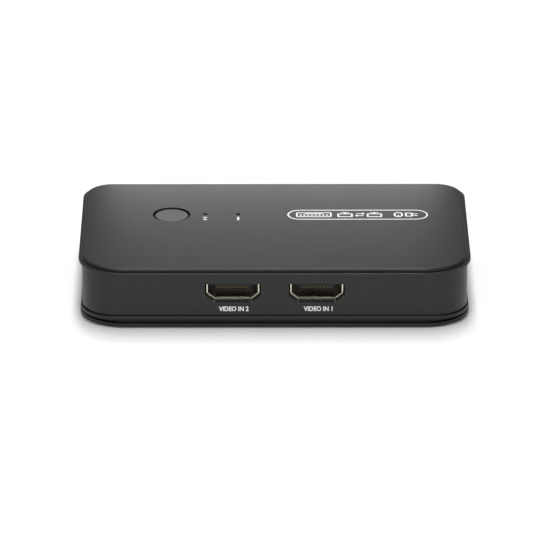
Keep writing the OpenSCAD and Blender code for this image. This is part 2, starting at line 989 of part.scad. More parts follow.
module voltage_regulator() {
  tab = [3, 1.8, 0.25];
  color([0.12, 0.12, 0.12])
  translate([regulator_place[0], regulator_place[1], z_board]) {
    translate([-regulator_size[0] / 2, -regulator_size[1] / 2, 0])
      cube(regulator_size);
    translate([-tab[0] / 2, regulator_size[1] / 2 - slip, 0])
      cube(tab);
  }
}

module power_inductor() {
  dish_r = 1.6;
  dish_depth = 0.2;
  color([0.25, 0.25, 0.27])
  translate([inductor_place[0], inductor_place[1], z_board])
    difference() {
      translate([-inductor_size[0] / 2, -inductor_size[1] / 2, 0])
        cube(inductor_size);
      translate([0, 0, inductor_size[2] - dish_depth])
        cylinder(r = dish_r, h = dish_depth + past);
    }
}

module crystals() {
  can_w = 10.2;
  can_d = 3.8;
  can_h = 3.4;
  color("silver")
  for (place = crystal_places)
    translate([place[0], place[1], z_board])
      linear_extrude(can_h)
        translate([0, -can_d / 2])
          slot_profile(can_w, can_d);
}

module bulk_capacitors() {
  can_r = 2.5;
  can_h = 5.3;
  foot_w = 5.3;
  foot_t = 0.5;
  color("silver")
  for (place = can_places)
    translate([place[0], place[1], z_board]) {
      translate([-foot_w / 2, -foot_w / 2, 0])
        cube([foot_w, foot_w, foot_t]);
      translate([0, 0, foot_t - slip])
        cylinder(r = can_r, h = can_h);
    }
}

// Small two-ended parts lie in straight rows: start, step, count
module small_row(start, step, count, size) {
  for (i = [0:1:count - 1])
    translate([start[0] + i * step[0] - size[0] / 2, start[1] + i * step[1] - size[1] / 2, z_board])
      cube(size);
}

module ceramic_capacitors() {
  size = [1.6, 0.8, 0.8];
  color([0.7, 0.6, 0.45]) {
    small_row([-2, 4], [2.4, 0], 5, size);
    small_row([14, -10], [0, 2.2], 6, size);
    small_row([31, 8], [2.6, 0], 4, size);
    small_row([-36, -17], [2.6, 0], 4, size);
  }
}

module resistors() {
  size = [1.6, 0.8, 0.5];
  color([0.15, 0.15, 0.15]) {
    small_row([-32, -6], [0, 2], 4, size);
    small_row([-28, -4], [0, -2], 5, size);
    small_row([21, -8], [2.4, 0], 5, size);
    small_row([19, 9], [2.4, 0], 4, size);
  }
}

// Surge arrays stand behind the video sockets, where the signal pairs enter the board
module surge_arrays() {
  size = [2.5, 1, 0.6];
  behind = video_l + 2.8;
  color([0.12, 0.12, 0.12]) {
    for (x = [-video_in_x, video_in_x])
      at_input(x)
        for (i = [-1, 1])
          translate([i * 2 - size[0] / 2, behind, 0])
            cube(size);
    at_user(video_out_x)
      for (i = [-1, 1])
        translate([i * 2 - size[0] / 2, behind, 0])
          cube(size);
  }
}

top_cover();
wall_frame();
base_cover();
rubber_feet();
case_screws();
circuit_board();
select_button();
switch_housing();
switch_cover();
switch_plunger();
switch_dome();
switch_terminals();
light_pipe_1();
light_pipe_2();
led_1();
led_2();
video_in_1_shell();
video_in_1_tongue();
video_in_1_contacts();
video_in_2_shell();
video_in_2_tongue();
video_in_2_contacts();
video_out_shell();
video_out_tongue();
video_out_contacts();
usb_keyboard_shell();
usb_keyboard_tongue();
usb_keyboard_contacts();
usb_mouse_shell();
usb_mouse_tongue();
usb_mouse_contacts();
usb_computer_1_shell();
usb_computer_1_tongue();
usb_computer_1_contacts();
usb_computer_2_shell();
usb_computer_2_tongue();
usb_computer_2_contacts();
video_switch_chip();
usb_hub_chip();
controller_chip();
memory_chip();
chip_pins();
voltage_regulator();
power_inductor();
crystals();
bulk_capacitors();
ceramic_capacitors();
resistors();
surge_arrays();
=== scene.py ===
# %% [markdown]
# # A desktop switch for two computers
# The box lets one screen, keyboard and mouse serve two computers. It is a black moulded case with a
# round select button, two small status lights, two video inputs on the side that faces the camera,
# and a video output, two keyboard and mouse sockets and two computer sockets on the far side.
# The shapes come from the engineering model, which is loaded here as the frame. Everything that this
# lesson adds (ink, springs, softened edges, finishes, light) is fitted to that frame, in metres.

import math

import bmesh
import bpy
from mathutils import Matrix, Vector


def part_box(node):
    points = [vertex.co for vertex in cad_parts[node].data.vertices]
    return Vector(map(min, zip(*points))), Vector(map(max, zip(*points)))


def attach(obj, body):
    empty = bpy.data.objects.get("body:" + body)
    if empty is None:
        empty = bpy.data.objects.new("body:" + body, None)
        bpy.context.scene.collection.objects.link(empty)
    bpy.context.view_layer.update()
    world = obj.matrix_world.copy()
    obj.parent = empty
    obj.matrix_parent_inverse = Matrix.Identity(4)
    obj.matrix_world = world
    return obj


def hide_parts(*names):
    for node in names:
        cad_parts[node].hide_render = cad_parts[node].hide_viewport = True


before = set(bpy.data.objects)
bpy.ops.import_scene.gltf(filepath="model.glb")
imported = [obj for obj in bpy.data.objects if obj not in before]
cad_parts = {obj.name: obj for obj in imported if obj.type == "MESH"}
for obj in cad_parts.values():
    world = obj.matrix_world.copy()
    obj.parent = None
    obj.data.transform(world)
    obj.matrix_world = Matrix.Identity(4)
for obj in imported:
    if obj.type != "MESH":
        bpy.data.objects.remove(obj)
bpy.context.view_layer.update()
MM = 0.001
print("pieces in the frame:", len(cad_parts))

# %% [markdown]
# ## Two helpers for colours and nodes
# Colours are easiest to pick as the hex values of a paint program, which are sRGB. Blender's shaders
# want linear light, so one function turns the first into the second.
# Shader and geometry trees are both built from nodes, so one function adds any node: it sets the
# node's own options, then fills each input with a value or with a link from another node's output.


# %% Colour and node helpers
def colour(hex_code):
    """Linear RGBA of an sRGB hex value."""
    parts = [int(hex_code[i : i + 2], 16) / 255 for i in (1, 3, 5)]
    return [p / 12.92 if p <= 0.04045 else ((p + 0.055) / 1.055) ** 2.4 for p in parts] + [1.0]


def add(tree, kind, sockets=None, **options):
    """Adds one node. A socket's value may be a number, a colour or the output that feeds it."""
    node = tree.nodes.new(kind)
    for option, value in options.items():
        setattr(node, option, value)
    for key, value in (sockets or {}).items():
        if isinstance(value, bpy.types.NodeSocket):
            tree.links.new(value, node.inputs[key])
        else:
            node.inputs[key].default_value = value
    return node


# %% [markdown]
# ## A recipe for finishes
# Every finish on this object has the same skeleton: a Principled shader, a colour that drifts a little
# from place to place, a roughness that drifts too, and a fine relief. What changes from plastic to
# steel to rubber is the numbers, so the recipe is written once and each finish only gives its own.
# The patterns are noise on Object coordinates, so their size is a real size: a grain of 0.3 mm is a
# noise scale of one over 0.3 mm. A stretch makes the grain longer along one direction, as rolling and
# brushing do. Scanned images could do the same, but they need unwrapping and blur up close, while
# noise stays sharp at any distance and fits every piece.


# %% The finish recipe
DRIFT_MM = 12


def finish(name, tone, second_tone, rough, grain_mm, relief_mm, stretch=(1, 1, 1), **shader):
    """A material: two tones mixed by a slow drift, a roughness range, and a grain with its relief."""
    material = bpy.data.materials.new(name)
    material.use_nodes = True
    tree = material.node_tree
    tree.nodes.clear()
    place = add(tree, "ShaderNodeTexCoord").outputs["Object"]
    grain_space = add(tree, "ShaderNodeMapping", {"Vector": place, "Scale": stretch})
    grain = add(
        tree,
        "ShaderNodeTexNoise",
        {
            "Vector": grain_space.outputs[0],
            "Scale": 1 / (grain_mm * MM),
            "Detail": 2.0,
            "Roughness": 0.55,
        },
    )
    drift = add(
        tree,
        "ShaderNodeTexNoise",
        {"Vector": place, "Scale": 1 / (DRIFT_MM * MM), "Detail": 3.0},
    )
    both = add(
        tree,
        "ShaderNodeMath",
        {0: drift.outputs["Fac"], 1: grain.outputs["Fac"]},
        operation="MULTIPLY",
    )
    share = add(
        tree,
        "ShaderNodeMapRange",
        {"Value": both.outputs[0], "From Min": 0.12, "From Max": 0.42, "To Min": 0.0, "To Max": 1.0},
    )
    tint = add(
        tree,
        "ShaderNodeMix",
        {"Factor": share.outputs[0], "A": colour(tone), "B": colour(second_tone)},
        data_type="RGBA",
    )
    gloss = add(
        tree,
        "ShaderNodeMapRange",
        {
            "Value": drift.outputs["Fac"],
            "From Min": 0.3,
            "From Max": 0.7,
            "To Min": rough[0],
            "To Max": rough[1],
        },
    )
    relief = add(
        tree,
        "ShaderNodeBump",
        {"Height": grain.outputs["Fac"], "Distance": relief_mm * MM, "Strength": 1.0},
    )
    surface = add(
        tree,
        "ShaderNodeBsdfPrincipled",
        {
            "Base Color": tint.outputs["Result"],
            "Roughness": gloss.outputs[0],
            "Normal": relief.outputs[0],
            **shader,
        },
    )
    add(tree, "ShaderNodeOutputMaterial", {"Surface": surface.outputs[0]})
    return material


# %% [markdown]
# ## The case and its button: moulded ABS
# The case's three shells are injection moulded in black ABS. The mould is etched by sparks, which
# leaves a grain of about 0.4 mm, so light spreads into a soft sheen and never a mirror. The grain could
# be modelled, but it is far too fine for faces, so it is a bump. Its pits swallow some light, so the
# IOR is set a little under that of solid ABS.
# The button comes from its own, smoother mould. Its lighter grey is painted reflection: it stands in
# for the light that the cap's top catches in its recess.

# %% Plastics of the case
case_abs = finish(
    "spark_textured_black_abs", "#101012", "#151517", (0.45, 0.475), 0.42, 0.03, IOR=1.46
)
# The button's lighter grey is painted reflection of the light on its recessed top, not a lighter
# plastic.
button_abs_painted_reflection = finish(
    "fine_matt_black_abs_painted_reflection", "#3B3B3D", "#434345", (0.46, 0.52), 0.22, 0.006, IOR=1.5
)
foot_silicone = finish(
    "pressed_silicone_rubber", "#1B1B1C", "#232324", (0.72, 0.82), 0.5, 0.02, IOR=1.42
)
print("plastics:", case_abs.name, button_abs_painted_reflection.name, foot_silicone.name)

# %% [markdown]
# ## Metals
# The socket shells are stamped from steel sheet and plated with nickel, which is slightly warm and
# shows faint lines along the direction in which the sheet was rolled. The contacts are flashed with
# gold, the small pins and cans are tinned, and the case screws are zinc plated. A metal's colour is its
# reflection, so metallic is 1 and the IOR stays as it is.

# %% Metal finishes
shell_nickel = finish(
    "nickel_plated_stamped_steel",
    "#E4DDCB",
    "#CFC8B8",
    (0.2, 0.3),
    0.12,
    0.001,
    stretch=(1, 0.12, 1),
    Metallic=1.0,
)
contact_flash = finish(
    "gold_flashed_bronze", "#E0BA66", "#D2A64E", (0.22, 0.32), 0.1, 0.0006, Metallic=1.0
)
tin_plate = finish("dull_tin_plate", "#C9CBCD", "#B4B7BA", (0.34, 0.46), 0.2, 0.002, Metallic=1.0)
zinc_plate = finish(
    "zinc_plated_screw_steel", "#B8BCC2", "#A3A8B0", (0.28, 0.4), 0.25, 0.003, Metallic=1.0
)
print("metals:", shell_nickel.name, contact_flash.name, tin_plate.name, zinc_plate.name)

# %% [markdown]
# ## Parts of the circuit
# Most of these sit in the dark behind the sockets, but the case can be taken apart, so each gets its
# real stuff: glass-filled nylon for the socket tongues, epoxy with a matt skin for the chips, ferrite
# with a coarse sintered grain, pale ceramic, and smoke-tinted or milky resin for the light parts.

# %% Finishes of the circuit
tongue_nylon = finish(
    "glass_filled_black_nylon", "#18181A", "#202022", (0.5, 0.62), 0.15, 0.004, IOR=1.53
)
chip_epoxy = finish("matt_moulded_epoxy", "#1C1D1F", "#26272A", (0.55, 0.66), 0.12, 0.004, IOR=1.55)
ferrite = finish("sintered_ferrite", "#3C3C40", "#2C2C2F", (0.6, 0.75), 0.35, 0.015, IOR=2.2)
ceramic = finish("fired_barium_ceramic", "#B39B76", "#A58A63", (0.35, 0.5), 0.3, 0.004, IOR=1.8)
light_pipe = finish(
    "smoke_tinted_moulded_acrylic",
    "#5A5E60",
    "#505456",
    (0.1, 0.2),
    0.6,
    0.001,
    IOR=1.49,
    **{"Transmission Weight": 1.0},
)
lamp_resin = finish(
    "milky_lamp_epoxy",
    "#E9E4C8",
    "#DDD6B2",
    (0.25, 0.35),
    0.4,
    0.002,
    IOR=1.54,
    **{"Transmission Weight": 0.35},
)
print("circuit finishes:", tongue_nylon.name, chip_epoxy.name, ferrite.name, ceramic.name)

# %% [markdown]
# ## The board's green lacquer
# A circuit board is glass laminate with copper tracks under a green lacquer. Here the green is painted
# darker than the lacquer's own, as painted shade, so that the board's edge seen through the socket
# mouths stays as dark as the shade there. The tracks show as slightly lighter lines on a grid. They
# could be drawn one by one, but the board is only glimpsed through the sockets, so a brick pattern is
# enough: its bricks are the bare lacquer and its joints are the tracks, 0.3 mm wide and 1.5 mm apart,
# with a little height of their own.

# %% Board lacquer
# The dark green is partly the lacquer's colour and partly painted shade for the board seen inside the
# sockets.
board_lacquer_painted_shade = finish(
    "green_solder_mask_laminate_painted_shade", "#0A331F", "#082A19", (0.25, 0.35), 0.4, 0.002, IOR=1.55
)
tree = board_lacquer_painted_shade.node_tree
surface = next(n for n in tree.nodes if n.type == "BSDF_PRINCIPLED")
place = next(n for n in tree.nodes if n.type == "TEX_COORD").outputs["Object"]
TRACK_PITCH = 1.5
TRACK_HALF = 0.15
TRACK_RISE = 0.03
# The bricks use the same darkened green, which is partly painted shade.
tracks = add(
    tree,
    "ShaderNodeTexBrick",
    {
        "Vector": place,
        "Scale": 1 / MM,
        "Mortar Size": TRACK_HALF,
        "Mortar Smooth": 0.2,
        "Brick Width": TRACK_PITCH * 4,
        "Row Height": TRACK_PITCH,
        "Color1": colour("#0A331F"),
        "Color2": colour("#082C1A"),
        "Mortar": colour("#14502F"),
    },
)
raised = add(
    tree,
    "ShaderNodeBump",
    {"Height": tracks.outputs["Fac"], "Distance": TRACK_RISE * MM, "Strength": 1.0},
)
tree.links.new(tracks.outputs["Color"], surface.inputs["Base Color"])
tree.links.new(raised.outputs[0], surface.inputs["Normal"])
print("board tracks every", TRACK_PITCH, "mm")

# %% [markdown]
# ## Printing ink
# The marks are screen printed: a film of white ink 10 to 20 microns thick. It covers well but not
# perfectly, so its white drifts a little and it stays matt.
# Each piece of the frame arrives with a named slot. A table from slot to finish paints them all in one
# loop, which is shorter and surer than naming each piece.

# %% Ink and the table of finishes
white_ink = finish("screen_printed_white_ink", "#F4F4F2", "#E6E6E4", (0.45, 0.55), 0.25, 0.002, IOR=1.5)

finish_of = {
    "case_plastic": case_abs,
    "button_plastic": button_abs_painted_reflection,
    "foot_rubber": foot_silicone,
    "screw_steel": zinc_plate,
    "socket_steel": shell_nickel,
    "contact_gold": contact_flash,
    "socket_plastic": tongue_nylon,
    "board_laminate": board_lacquer_painted_shade,
    "chip_epoxy": chip_epoxy,
    "tinned_metal": tin_plate,
    "ferrite": ferrite,
    "ceramic": ceramic,
    "clear_plastic": light_pipe,
    "lamp_resin": lamp_resin,
    "white_print": white_ink,
}
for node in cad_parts.values():
    for held in node.material_slots:
        held.material = finish_of[held.material.name.split(".")[0]]
print("painted", len(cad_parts), "pieces from", len(finish_of), "finishes")

# %% [markdown]
# ## Softened edges
# No moulded or stamped edge is razor sharp, and the thin bright lines along edges are what makes
# plastic look moulded. The case has its roundings in the engineering model already. The steel shells of
# the sockets and the nylon tongues of the video sockets are sharp there and show their edges to the
# light, so copies of them get rounded: loose triangles are merged, flat areas are joined into single
# faces, and a Bevel modifier rounds what is left. The copy then stands for the original, which stays
# untouched. A Bevel node in the material would only fake the shading, so real faces are better.


# %% Softening helper
SAME_PLACE = 0.001 * MM
FLAT = math.radians(0.3)
CORNER = 0.6


def soften(source, name, radius_mm, slot):
    """A copy of a frame piece with its sharp edges rounded. It replaces the piece in the picture."""
    work = bmesh.new()
    work.from_mesh(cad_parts[source].data)
    bmesh.ops.remove_doubles(work, verts=work.verts, dist=SAME_PLACE)
    bmesh.ops.dissolve_limit(work, angle_limit=FLAT, verts=work.verts, edges=work.edges)
    mesh = bpy.data.meshes.new(name)
    work.to_mesh(mesh)
    work.free()
    mesh.materials.append(finish_of[slot])
    mesh.shade_smooth()
    mesh.set_sharp_from_angle(angle=CORNER)
    piece = bpy.data.objects.new(name, mesh)
    bpy.context.scene.collection.objects.link(piece)
    rounding = piece.modifiers.new("rounding", "BEVEL")
    rounding.width = radius_mm * MM
    rounding.segments = 2
    rounding.limit_method = "ANGLE"
    rounding.angle_limit = CORNER
    rounding.harden_normals = True
    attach(piece, "case")
    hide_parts(source)


# %% Soften the sockets
shell_names = [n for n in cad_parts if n.endswith("_shell")]
for source in shell_names:
    soften(source, source + "_stamped", 0.06, "socket_steel")
tongue_names = [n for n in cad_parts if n.startswith("video") and n.endswith("_tongue")]
for source in tongue_names:
    soften(source, source + "_moulded", 0.12, "socket_plastic")
print("softened", len(shell_names), "shells and", len(tongue_names), "tongues")

# %% [markdown]
# ## Growing parts with Geometry Nodes
# Feet, springs and the printed outline repeat or follow a path, which is what Geometry Nodes are for.
# Each tree below is built in the script with its sizes as named inputs. The object it grows on is a
# small mesh with one point for each copy. The same shapes could be made with loops over vertices, but
# a tree keeps each step visible and its sizes can be turned like knobs. The result is made a plain
# mesh, so that the piece can be exported like any other.


# %% Geometry Nodes helpers
def new_tree(name, inputs):
    """An empty geometry tree with named inputs. Returns the tree and its group-input node."""
    tree = bpy.data.node_groups.new(name, "GeometryNodeTree")
    tree.interface.new_socket("Geometry", in_out="INPUT", socket_type="NodeSocketGeometry")
    for label, kind in inputs.items():
        tree.interface.new_socket(label, in_out="INPUT", socket_type="NodeSocket" + kind)
    tree.interface.new_socket("Geometry", in_out="OUTPUT", socket_type="NodeSocketGeometry")
    return tree, tree.nodes.new("NodeGroupInput")


def close_tree(tree, geometry, material):
    """Realizes the copies, gives them their material and sends them out."""
    real = add(tree, "GeometryNodeRealizeInstances", {"Geometry": geometry})
    dressed = add(tree, "GeometryNodeSetMaterial", {"Geometry": real.outputs[0], "Material": material})
    add(tree, "NodeGroupOutput", {"Geometry": dressed.outputs[0]})


def grow(name, tree, values, points):
    """Runs a tree on a mesh of points and keeps the outcome as a plain mesh on the case."""
    seeds = bpy.data.meshes.new(name + "_points")
    seeds.from_pydata([[c * MM for c in p["at"]] for p in points], [], [])
    turns = seeds.attributes.new("turn", "FLOAT_VECTOR", "POINT")
    for i, point in enumerate(points):
        turns.data[i].vector = point.get("turn", (0, 0, 0))
    piece = bpy.data.objects.new(name, seeds)
    bpy.context.scene.collection.objects.link(piece)
    growth = piece.modifiers.new("growth", "NODES")
    growth.node_group = tree
    for socket in tree.interface.items_tree:
        if socket.in_out == "INPUT" and socket.name in values:
            growth[socket.identifier] = values[socket.name]
    graph = bpy.context.evaluated_depsgraph_get()
    grown = bpy.data.meshes.new_from_object(piece.evaluated_get(graph), depsgraph=graph)
    piece.modifiers.remove(growth)
    piece.data = grown
    grown.name = name
    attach(piece, "case")
    print(name, "has", len(grown.polygons), "faces")
    return piece


# %% [markdown]
# ## Rubber feet
# Four discs of silicone rubber are glued into round recesses. A pressed disc has a soft lower edge
# and a shallow dish in its middle, which grips the table like a sucker. One disc is made as a cylinder
# with rings of faces across its underside, and a Set Position node lifts the inner rings into a
# dish. The rounded edge is left to a Bevel modifier, which is simpler than a turned profile.

# %% Grow the feet
tree, given = new_tree(
    "pressed_feet",
    {"Radius": "Float", "Height": "Float", "Dish": "Float", "Material": "Material"},
)
disc = add(
    tree,
    "GeometryNodeMeshCylinder",
    {
        "Vertices": 48,
        "Fill Segments": 8,
        "Radius": given.outputs["Radius"],
        "Depth": given.outputs["Height"],
    },
    fill_type="TRIANGLE_FAN",
)
spot = add(tree, "GeometryNodeInputPosition")
parts = add(tree, "ShaderNodeSeparateXYZ", {"Vector": spot.outputs[0]})
flat_spot = add(tree, "ShaderNodeCombineXYZ", {"X": parts.outputs["X"], "Y": parts.outputs["Y"]})
reach = add(tree, "ShaderNodeVectorMath", {0: flat_spot.outputs[0]}, operation="LENGTH")
share = add(
    tree,
    "ShaderNodeMath",
    {0: reach.outputs["Value"], 1: given.outputs["Radius"]},
    operation="DIVIDE",
)
dished = add(
    tree,
    "ShaderNodeMapRange",
    {"Value": share.outputs[0], "From Min": 0.76, "From Max": 0.6, "To Min": 0.0},
    interpolation_type="SMOOTHSTEP",
)
tree.links.new(given.outputs["Dish"], dished.inputs["To Max"])
lift = add(tree, "ShaderNodeCombineXYZ", {"Z": dished.outputs[0]})
low = add(tree, "FunctionNodeCompare", {"A": parts.outputs["Z"], "B": 0.0}, operation="LESS_THAN")
pressed = add(
    tree,
    "GeometryNodeSetPosition",
    {"Geometry": disc.outputs["Mesh"], "Selection": low.outputs[0], "Offset": lift.outputs[0]},
)
placed = add(
    tree,
    "GeometryNodeInstanceOnPoints",
    {"Points": given.outputs["Geometry"], "Instance": pressed.outputs[0]},
)
close_tree(tree, placed.outputs[0], given.outputs["Material"])

foot_low, foot_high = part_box("rubber_feet")
FOOT_R = 5.0
FOOT_DISH = 0.15
foot_x = foot_high.x / MM - FOOT_R
foot_rows = (foot_low.y / MM + FOOT_R, foot_high.y / MM - FOOT_R)
foot_mid = (foot_low.z + foot_high.z) / 2 / MM
feet = grow(
    "pressed_rubber_feet",
    tree,
    {
        "Radius": FOOT_R * MM,
        "Height": foot_high.z - foot_low.z,
        "Dish": FOOT_DISH * MM,
        "Material": foot_silicone,
    },
    [{"at": (side * foot_x, row, foot_mid)} for side in (-1, 1) for row in foot_rows],
)
edge = feet.modifiers.new("soft_edge", "BEVEL")
edge.width = 0.25 * MM
edge.segments = 3
edge.limit_method = "ANGLE"
edge.angle_limit = math.radians(60)
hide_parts("rubber_feet")

# %% [markdown]
# ## Spring fingers
# A plug is held by thin tongues that are punched out of the socket's shell and bent inwards. Each is
# a strip about 2 mm wide whose middle bulges into the mouth. One strip is a grid that a sine lifts into
# a bow, made solid by an Extrude node, and copies are placed on points with a turn of their own:
# upright on the lower wall, upside down under the upper wall. The video sockets only have the upper
# pair, because their floor narrows to make room for the plug's cut corners.

# %% Grow the spring fingers
tree, given = new_tree(
    "spring_fingers",
    {"Width": "Float", "Length": "Float", "Bow": "Float", "Sheet": "Float", "Material": "Material"},
)
strip = add(
    tree,
    "GeometryNodeMeshGrid",
    {
        "Size X": given.outputs["Width"],
        "Size Y": given.outputs["Length"],
        "Vertices X": 2,
        "Vertices Y": 11,
    },
)
spot = add(tree, "GeometryNodeInputPosition")
parts = add(tree, "ShaderNodeSeparateXYZ", {"Vector": spot.outputs[0]})
along = add(
    tree,
    "ShaderNodeMath",
    {0: parts.outputs["Y"], 1: given.outputs["Length"]},
    operation="DIVIDE",
)
angle = add(tree, "ShaderNodeMath", {0: along.outputs[0], 1: math.pi}, operation="MULTIPLY")
wave = add(tree, "ShaderNodeMath", {0: angle.outputs[0]}, operation="COSINE")
rise = add(tree, "ShaderNodeMath", {0: wave.outputs[0], 1: given.outputs["Bow"]}, operation="MULTIPLY")
lift = add(tree, "ShaderNodeCombineXYZ", {"Z": rise.outputs[0]})
bowed = add(
    tree,
    "GeometryNodeSetPosition",
    {"Geometry": strip.outputs["Mesh"], "Offset": lift.outputs[0]},
)
skin = add(
    tree,
    "GeometryNodeExtrudeMesh",
    {
        "Mesh": bowed.outputs[0],
        "Offset": (0, 0, 1),
        "Offset Scale": given.outputs["Sheet"],
        "Individual": False,
    },
)
under = add(tree, "GeometryNodeFlipFaces", {"Mesh": bowed.outputs[0]})
whole = add(tree, "GeometryNodeJoinGeometry")
tree.links.new(skin.outputs["Mesh"], whole.inputs[0])
tree.links.new(under.outputs[0], whole.inputs[0])
welded = add(tree, "GeometryNodeMergeByDistance", {"Geometry": whole.outputs[0], "Distance": 1e-6})
named = add(tree, "GeometryNodeInputNamedAttribute", {"Name": "turn"}, data_type="FLOAT_VECTOR")
turned = add(tree, "FunctionNodeEulerToRotation", {"Euler": named.outputs["Attribute"]})
placed = add(
    tree,
    "GeometryNodeInstanceOnPoints",
    {
        "Points": given.outputs["Geometry"],
        "Instance": welded.outputs[0],
        "Rotation": turned.outputs[0],
    },
)
close_tree(tree, placed.outputs[0], given.outputs["Material"])

SHEET = 0.2
FINGER_DEPTH = 4.2
HALF_TURN = (0, math.pi, 0)


def finger_points(shell, wall_mm, across_mm, on_floor):
    """Places for two fingers under the roof of a shell's mouth, and two on its floor if wanted."""
    low, high = (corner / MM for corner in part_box(shell))
    on_input_side = low.y < 0
    middle = (low.x + high.x) / 2
    y = low.y + FINGER_DEPTH if on_input_side else high.y - FINGER_DEPTH
    roof = high.z - wall_mm
    floor_level = BOARD_TOP + wall_mm
    points = []
    for side in (-1, 1):
        points.append({"at": (middle + side * across_mm, y, roof), "turn": HALF_TURN})
        if on_floor:
            points.append({"at": (middle + side * across_mm, y, floor_level)})
    return points


BOARD_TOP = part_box("circuit_board")[1].z / MM
video_fingers = []
for shell in ("video_in_1_shell", "video_in_2_shell", "video_out_shell"):
    video_fingers += finger_points(shell, 0.4, 3.2, on_floor=False)
usb_fingers = []
for shell in ("usb_keyboard_shell", "usb_mouse_shell"):
    usb_fingers += finger_points(shell, 0.3, 3.0, on_floor=True)
grow(
    "video_socket_springs",
    tree,
    {
        "Width": 1.8 * MM,
        "Length": 4 * MM,
        "Bow": 0.12 * MM,
        "Sheet": SHEET * MM,
        "Material": shell_nickel,
    },
    video_fingers,
)
grow(
    "usb_socket_springs",
    tree,
    {
        "Width": 2.2 * MM,
        "Length": 5 * MM,
        "Bow": 0.35 * MM,
        "Sheet": SHEET * MM,
        "Material": shell_nickel,
    },
    usb_fingers,
)

# %% [markdown]
# ## Screen printing
# All marks are thin films of ink. On the lid, a long pill outline frames small pictures of a keyboard,
# two screens, a mouse and a plug, and the figures 2 and 1 name the lights. They are printed to be read
# by the user, who sits on the far side, so from here they stand on their heads. Under each socket
# there is a short word.
# The marks could be painted into the lid's material, but then they would have no edge and no ink of
# their own. The outline follows a path, so Geometry Nodes sweep a flat bar along a rounded rectangle.

# %% Grow the pill outline
INK = 0.02
tree, given = new_tree(
    "printed_outline",
    {
        "Length": "Float",
        "Breadth": "Float",
        "Line": "Float",
        "Film": "Float",
        "Material": "Material",
    },
)
path = add(
    tree,
    "GeometryNodeCurvePrimitiveQuadrilateral",
    {"Width": given.outputs["Length"], "Height": given.outputs["Breadth"]},
    mode="RECTANGLE",
)
half = add(tree, "ShaderNodeMath", {0: given.outputs["Breadth"], 1: 0.4999}, operation="MULTIPLY")
rounded = add(
    tree,
    "GeometryNodeFilletCurve",
    {"Curve": path.outputs[0], "Radius": half.outputs[0], "Count": 16},
    mode="POLY",
)
bar = add(
    tree,
    "GeometryNodeCurvePrimitiveQuadrilateral",
    {"Width": given.outputs["Line"], "Height": given.outputs["Film"]},
    mode="RECTANGLE",
)
swept = add(
    tree,
    "GeometryNodeCurveToMesh",
    {"Curve": rounded.outputs[0], "Profile Curve": bar.outputs[0]},
)
placed = add(
    tree,
    "GeometryNodeInstanceOnPoints",
    {"Points": given.outputs["Geometry"], "Instance": swept.outputs[0]},
)
close_tree(tree, placed.outputs[0], given.outputs["Material"])

LID_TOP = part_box("top_cover")[1].z / MM
PILL_AT = (23.8, 8.0)
PILL_SIZE = (40.2, 7.3)
LINE = 0.5
pill = grow(
    "printed_pill_outline",
    tree,
    {
        "Length": (PILL_SIZE[0] - LINE) * MM,
        "Breadth": (PILL_SIZE[1] - LINE) * MM,
        "Line": LINE * MM,
        "Film": INK * MM,
        "Material": white_ink,
    },
    [{"at": (PILL_AT[0], PILL_AT[1], LID_TOP)}],
)
print("outline is", [round(size / MM, 2) for size in pill.dimensions])

# %% [markdown]
# ## Drawing films of ink
# A picture is a set of flat faces drawn in millimetres. One helper lifts the faces by the thickness of
# the film, scales them to metres and lays them in their place. The others draw what pictures are made
# of: a filled bar, and a frame with rounded corners.


# %% Helpers for printed shapes
def film(name, draw, place):
    """Draws flat shapes in millimetres, makes a film of them and puts it in its place."""
    work = bmesh.new()
    draw(work)
    grown = bmesh.ops.extrude_face_region(work, geom=work.faces[:])
    tops = [v for v in grown["geom"] if isinstance(v, bmesh.types.BMVert)]
    bmesh.ops.translate(work, verts=tops, vec=(0, 0, INK))
    bmesh.ops.recalc_face_normals(work, faces=work.faces)
    mesh = bpy.data.meshes.new(name)
    work.to_mesh(mesh)
    work.free()
    mesh.transform(Matrix.Scale(MM, 4))
    mesh.transform(place)
    mesh.materials.append(white_ink)
    piece = bpy.data.objects.new(name, mesh)
    bpy.context.scene.collection.objects.link(piece)
    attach(piece, "case")


def patch(work, points):
    """One flat face through these points, counted anticlockwise."""
    work.faces.new([work.verts.new((x, y, 0)) for x, y in points])


def bar_shape(work, x, y, w, h):
    """A filled rectangle by its centre and size."""
    left, right, low, high = x - w / 2, x + w / 2, y - h / 2, y + h / 2
    patch(work, [(left, low), (right, low), (right, high), (left, high)])


def loop_of(x, y, w, h, r, steps=6):
    """Points round a rectangle with rounded corners."""
    points = []
    for k, (sx, sy) in enumerate(((1, 1), (-1, 1), (-1, -1), (1, -1))):
        corner_x = x + sx * (w / 2 - r)
        corner_y = y + sy * (h / 2 - r)
        for i in range(steps + 1):
            a = math.radians(90 * (k + i / steps))
            points.append((corner_x + r * math.cos(a), corner_y + r * math.sin(a)))
    return points


def frame_shape(work, x, y, w, h, line, r):
    """An outlined rectangle with rounded corners, drawn as a band of faces."""
    inner_r = max(r - line, 0.02)
    outside = loop_of(x, y, w, h, r)
    inside = loop_of(x, y, w - 2 * line, h - 2 * line, inner_r)
    outer = [work.verts.new((px, py, 0)) for px, py in outside]
    inner = [work.verts.new((px, py, 0)) for px, py in inside]
    for i in range(len(outer)):
        j = (i + 1) % len(outer)
        work.faces.new([outer[i], outer[j], inner[j], inner[i]])


# %% [markdown]
# ## Pictures
# The keyboard is a frame with rows of keys and a space bar, the screens are frames on a foot, the mouse
# is a tall rounded frame with a wheel, and the plug is a body with two pins. Two arrows between the
# screens say what the switch does. All of them share one line weight, as printed symbols do.

# %% Pictures in the outline
STROKE = 0.5
TALL = 3.5


